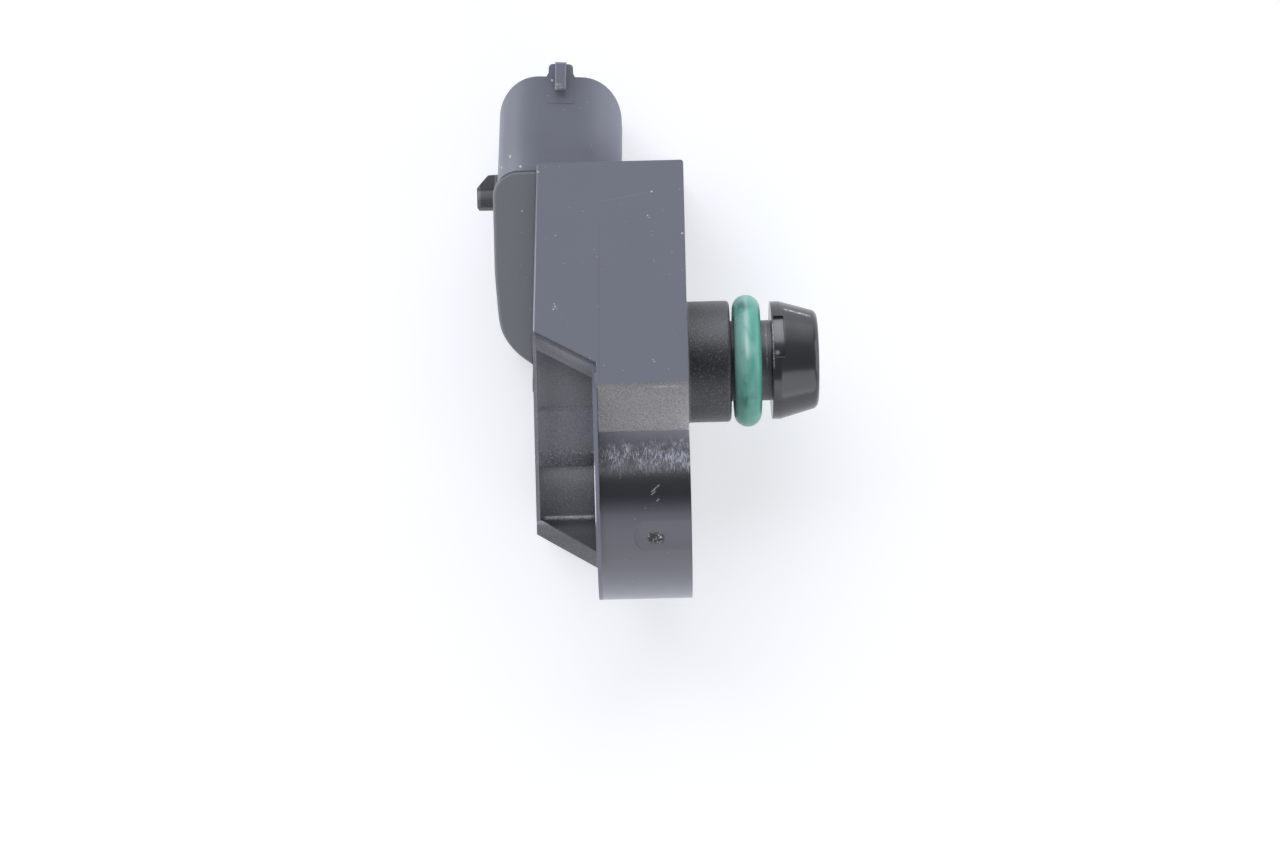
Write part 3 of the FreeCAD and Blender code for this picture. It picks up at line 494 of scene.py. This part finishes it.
def body_plastic():
    """Black moulded plastic: satin body, grainy port base and recesses, polished waist and nose."""
    f = Finish("body_plastic")
    area = body_areas(f)
    # Grey-blue base tone, lighter than black plastic: a painted sheen standing in for the lamps'
    # reflection.
    tone = f.blend(f.noise(6.0, detail=2.0), (0.161, 0.169, 0.204), (0.172, 0.180, 0.216))
    for layer in (pocket_painted_light, shoulder_painted_light, port_tone_and_painted_light, ear_painted_reflection, grain_tone, collar_painted_sheen,
                  turned_away_tone, latch_painted_light, ear_scratches_and_glints, gate_marks, edge_marks_and_highlights, face_marks,
                  dust_marks):
        tone = layer(f, area, tone)
    f.colour(tone)
    f.roughness(body_roughness(f, area))
    f.set("IOR", plastic_ior)
    body_relief(f, area)
    return f.material


def cover_plastic():
    """Black plastic of the domed cover, a little less blue than the body, with a painted sheen in its grey
    tone and painted light along the seat.
    """
    f = Finish("cover_plastic")
    depth = f.reckon("ABSOLUTE", f.z)
    grain = f.noise(0.18, detail=2.0, rough=0.7)
    # Grey base tone, lighter than black plastic: a painted sheen standing in for the lamps' reflection.
    tone = f.blend(f.noise(5.0, detail=2.0), (0.141, 0.147, 0.160), (0.150, 0.156, 0.171))
    dust = f.both(f.dots(0.8, 0.045, 0.02, (2, 5, 1)), f.above(f.noise(2.5, shift=(3, 2, 4)), 0.50, 0.05))
    tone = f.blend(f.both(dust, 0.5), tone, (0.7, 0.68, 0.6))
    crumbs = [f.near(place, size, 0.05) for place, size in cover_crumbs]
    tone = f.blend(f.both(f.either(*crumbs), 0.8), tone, (0.75, 0.72, 0.55))
    # Painted light along the seat side of the cover.
    tone = f.blend(f.along(from_seat(f), (-15.3, 0.0), (-14.6, 0.12)), tone, (0.30, 0.31, 0.33))
    # Cover's top edge painted dark: painted shade in place of its highlight.
    brow = f.both(f.above(f.y, 17.5, 0.3), f.below(depth, 9.27, 0.03), f.above(depth, 8.6))
    tone = f.blend(brow, tone, (0.02, 0.02, 0.025))
    f.colour(tone)
    f.roughness(f.level(brow, f.level(f.noise(2.0, shift=(4, 4, 4)), 0.38, 0.45), 0.6))
    f.set("IOR", plastic_ior)
    f.relief(grain, 0.003, edge=f.level(brow, soft_edge, 0.03))
    return f.material


def seal_rubber():
    """Green rubber of the O-ring, with a pale moulding line round it, a dark smear of grease, and painted
    light and highlights on its base side and crown.
    """
    f = Finish("seal_rubber")
    mottle = f.noise(1.6, stretch=(1, 1.5, 1.5), detail=4.0, rough=0.6)
    tone = f.blend(f.above(mottle, 0.5, 0.2), (0.080, 0.320, 0.245), (0.105, 0.370, 0.290))
    grease = f.either(f.near((5.1, 5.2, 3.6), 0.9, 0.6), f.near((5.1, -3.4, 5.0), 1.3, 0.9))
    patches = f.above(f.noise(1.0, stretch=(1, 1.8, 1.8), detail=4.0, shift=(7, 3, 2)), 0.48, 0.12)
    smear = f.either(f.both(grease, patches), f.both(patches, 0.12))
    tone = f.blend(f.both(smear, 0.8), tone, (0.022, 0.095, 0.080))
    broken = f.above(f.noise(0.9, stretch=(1, 3, 3), detail=4.0, shift=(1, 6, 2)), 0.46, 0.12)
    line = f.both(f.between(f.x, ring_centre - 0.22, ring_centre + 0.12, 0.22), broken)
    # The moulding line is real; its strength growing toward the plug side is a painted highlight.
    line = f.times(line, f.along(f.y, (-3.0, 0.08), (-0.5, 0.25), (0.8, 0.45), (6.0, 0.35)))
    tone = f.blend(line, tone, (0.50, 0.66, 0.62))
    # Painted light on the port-base side of the ring and a pale spot on its crown.
    left = f.both(f.below(f.x, 5.70, 0.15), f.along(f.y, (-3.0, 0.0), (-1.0, 1.0), (4.0, 1.0), (5.5, 0.4)))
    painted_light_patch = f.either(f.both(left, f.above(mottle, 0.42, 0.1)), f.near((5.8, 0.9, 6.2), 0.7, 0.5))
    painted_light_patch = f.both(painted_light_patch, f.below(grease, 0.3, 0.2))
    tone = f.blend(f.both(painted_light_patch, 0.30), tone, (0.46, 0.66, 0.60))
    # Painted highlight on the crown.
    painted_ring_highlight = f.both(f.near((5.72, 1.2, 6.35), 0.9, 0.6), f.between(f.x, 5.52, 5.86, 0.12))
    tone = f.blend(f.both(painted_ring_highlight, 0.45), tone, (0.62, 0.80, 0.74))
    # Painted light on the side next to the port base.
    flank_painted_light = f.along(f.x, (4.6, 0.50), (5.0, 0.28), (5.5, 0.0))
    tone = f.blend(flank_painted_light, tone, (0.34, 0.62, 0.54))
    f.colour(tone)
    f.roughness(f.level(f.noise(0.8, detail=3, shift=(2, 8, 5)), 0.26, 0.40))
    f.relief(f.noise(0.6, detail=3), 0.010)
    return f.material


def bushing_steel():
    """Turned steel with fine rings about the screw's axis."""
    f = Finish("bushing_steel")
    off_axis = f.vector("MULTIPLY", f.vector("SUBTRACT", f.place, (0, screw_y, 0)), (0, 1, 1))
    face_rings = f.reckon("SINE", f.times(f.vector("LENGTH", off_axis), 55.0))
    wall_rings = f.reckon("SINE", f.times(f.x, 48.0))
    f.colour(f.blend(f.noise(1.5, detail=3), (0.58, 0.57, 0.54), (0.68, 0.67, 0.64)))
    f.set("Metallic", 1.0)
    f.roughness(f.level(f.noise(0.5, detail=4, shift=(3, 3, 3)), 0.26, 0.40))
    f.relief(f.plus(face_rings, wall_rings), 0.002, edge=0.15)
    return f.material


def metal(name, low, high, rough, size=0.6, stretch=(1, 1, 1)):
    f = Finish(name)
    f.colour(f.blend(f.noise(size, stretch=stretch, detail=3), low, high))
    f.set("Metallic", 1.0)
    f.roughness(f.level(f.noise(size * 0.6, stretch=stretch, detail=4), rough, rough + 0.12))
    f.relief(f.noise(size * 0.3, stretch=stretch, detail=3), 0.002, edge=0.03)
    return f.material


def fired(name, low, high, rough, size=0.5, depth=0.003):
    """Ceramic, silicon or set silicone: two close tones with a fine tooth."""
    f = Finish(name)
    f.colour(f.blend(f.above(f.noise(size, detail=4, rough=0.65), 0.5, 0.2), low, high))
    f.roughness(f.level(f.noise(size * 2, detail=3), rough, rough + 0.1))
    f.relief(f.noise(size * 0.3, detail=3), depth)
    return f.material


def base_glass():
    """Clear glass that carries the sensor chip."""
    f = Finish("base_glass")
    f.colour(f.blend(f.noise(1.0), (0.86, 0.92, 0.90), (0.90, 0.95, 0.93)))
    f.set("Transmission Weight", 0.9)
    f.set("IOR", glass_ior)
    f.roughness(f.level(f.noise(0.4), 0.04, 0.10))
    f.relief(f.noise(0.6), 0.001)
    return f.material


terminal_metal = metal("terminal_metal", (0.66, 0.66, 0.63), (0.76, 0.76, 0.73), 0.22, 0.4, (1, 9, 1))
wire_metal = metal("wire_metal", (0.78, 0.78, 0.77), (0.86, 0.86, 0.85), 0.25, 0.3)
bead_silicone = fired("bead_silicone", (0.26, 0.27, 0.28), (0.32, 0.33, 0.34), 0.40, 0.7, 0.01)
chip_silicon = fired("chip_silicon", (0.10, 0.11, 0.14), (0.14, 0.15, 0.19), 0.16, 0.3, 0.001)

finishes = {
    "housing": body_plastic(),
    "cover": cover_plastic(),
    "port_o_ring": seal_rubber(),
    "mounting_bushing": bushing_steel(),
    "supply_terminal": terminal_metal,
    "signal_terminal": terminal_metal,
    "ground_terminal": terminal_metal,
    "cover_adhesive": bead_silicone,
    "substrate_adhesive": bead_silicone,
    "ceramic_substrate": fired("plate_ceramic", (0.76, 0.76, 0.73), (0.84, 0.84, 0.81), 0.55, 0.25),
    "substrate_tracks": metal("track_metal", (0.74, 0.60, 0.32), (0.82, 0.68, 0.40), 0.35, 0.2),
    "cell_solder_ring": metal("solder_metal", (0.60, 0.61, 0.62), (0.70, 0.71, 0.72), 0.30, 0.3),
    "cell_glass_base": base_glass(),
    "sensor_chip": chip_silicon,
    "evaluation_chip": chip_silicon,
    "reference_cap": metal("cap_metal", (0.50, 0.50, 0.50), (0.60, 0.60, 0.60), 0.30, 0.3),
    "filter_capacitors": fired("capacitor_ceramic", (0.42, 0.31, 0.20), (0.52, 0.39, 0.27), 0.45, 0.2),
    "trim_resistors": fired("resistor_ceramic", (0.03, 0.03, 0.035), (0.06, 0.06, 0.065), 0.40, 0.2),
    "chip_bond_wires": wire_metal,
    "evaluation_bond_wires": wire_metal,
    "terminal_bond_wires": wire_metal,
}
for name, material in finishes.items():
    slots = nodes[name].data.materials
    slots.clear()
    slots.append(material)


def pale_floor():
    """Flat pale sheet that the sensor lies on. It keeps the shadow and shows white."""
    half = 3.0
    z = floor_z / 1000
    mesh = bpy.data.meshes.new("pale_floor")
    corners = [(-half, -half, z), (half, -half, z), (half, half, z), (-half, half, z)]
    mesh.from_pydata(corners, [], [(0, 1, 2, 3)])
    sheet = bpy.data.objects.new("pale_floor", mesh)
    bpy.context.scene.collection.objects.link(sheet)
    f = Finish("pale_sheet")
    f.colour(f.blend(f.noise(60.0), (0.87, 0.885, 0.92), (0.89, 0.905, 0.94)))
    f.roughness(0.9)
    rays = f.node("ShaderNodeLightPath").outputs
    seen = f.either(rays["Is Camera Ray"], rays["Is Glossy Ray"], rays["Is Transmission Ray"])
    white = f.node("ShaderNodeEmission")
    white.inputs["Color"].default_value = (0.98, 0.99, 1.0, 1.0)
    white.inputs["Strength"].default_value = 1.55
    mix = f.node("ShaderNodeMixShader")
    f.join(f.times(seen, 0.32), mix.inputs[0])
    f.join(f.shader.outputs[0], mix.inputs[1])
    f.join(white.outputs[0], mix.inputs[2])
    f.join(mix.outputs[0], f.tree.nodes["Material Output"].inputs["Surface"])
    mesh.materials.append(f.material)


def softbox(name, off_vertical, toward, width, height, radiance):
    """Area lamp a metre off, aimed at the sensor. toward is its compass angle: 0 is +X, 90 is +Y."""
    lamp = bpy.data.lights.new(name, "AREA")
    lamp.shape = "RECTANGLE"
    lamp.size = width
    lamp.size_y = height
    lamp.energy = math.pi * width * height * radiance
    lamp.color = lamp_colour
    tilt = math.radians(off_vertical)
    turn = math.radians(toward)
    aim = Vector((math.sin(tilt) * math.cos(turn), math.sin(tilt) * math.sin(turn), math.cos(tilt)))
    box = bpy.data.objects.new(name, lamp)
    box.location = aim
    box.rotation_euler = aim.to_track_quat("Z", "Y").to_euler()
    bpy.context.scene.collection.objects.link(box)


def pale_room():
    """Room that is darker overhead, behind the camera, and white at the horizon."""
    world = bpy.data.worlds.new("pale_room")
    bpy.context.scene.world = world
    world.use_nodes = True
    tree = world.node_tree
    place = tree.nodes.new("ShaderNodeTexCoord")
    split = tree.nodes.new("ShaderNodeSeparateXYZ")
    ramp = tree.nodes.new("ShaderNodeValToRGB")
    points = ramp.color_ramp.elements
    points[0].position, points[0].color = 0.00, (1.0, 1.0, 1.0, 1.0)
    points[1].position, points[1].color = 0.85, (0.14, 0.14, 0.14, 1.0)
    for position, grey in ((0.08, 1.0), (0.25, room_level), (0.60, room_level)):
        point = points.new(position)
        point.color = (grey, grey, grey, 1.0)
    background = tree.nodes["Background"]
    background.inputs["Strength"].default_value = 1.0
    tree.links.new(place.outputs["Generated"], split.inputs[0])
    tree.links.new(split.outputs["Z"], ramp.inputs["Fac"])
    tree.links.new(ramp.outputs["Color"], background.inputs["Color"])


def studio():
    """Soft boxes on four sides, the one on the plug side the strongest."""
    pale_room()
    softbox("ear_side_box", 63, -63, 0.90, 0.90, 1.55)
    softbox("plug_side_box", 61, 101, 1.60, 1.00, 2.8)
    softbox("port_side_box", 74, 5, 0.90, 0.60, 1.5)
    softbox("cover_side_box", 74, 182, 0.90, 0.60, 1.5)


def overhead_camera():
    data = bpy.data.cameras.new("overhead_camera")
    data.lens = camera_lens
    data.sensor_width = 36.0
    data.sensor_fit = "HORIZONTAL"
    data.clip_start = 0.01
    data.clip_end = 20.0
    camera = bpy.data.objects.new("overhead_camera", data)
    camera.location = camera_place
    camera.rotation_euler = Euler((0, 0, math.radians(camera_turn)))
    bpy.context.scene.collection.objects.link(camera)
    bpy.context.scene.camera = camera


pale_floor()
studio()
overhead_camera()
bpy.context.scene.view_settings.view_transform = "Standard"

bpy.context.view_layer.update()
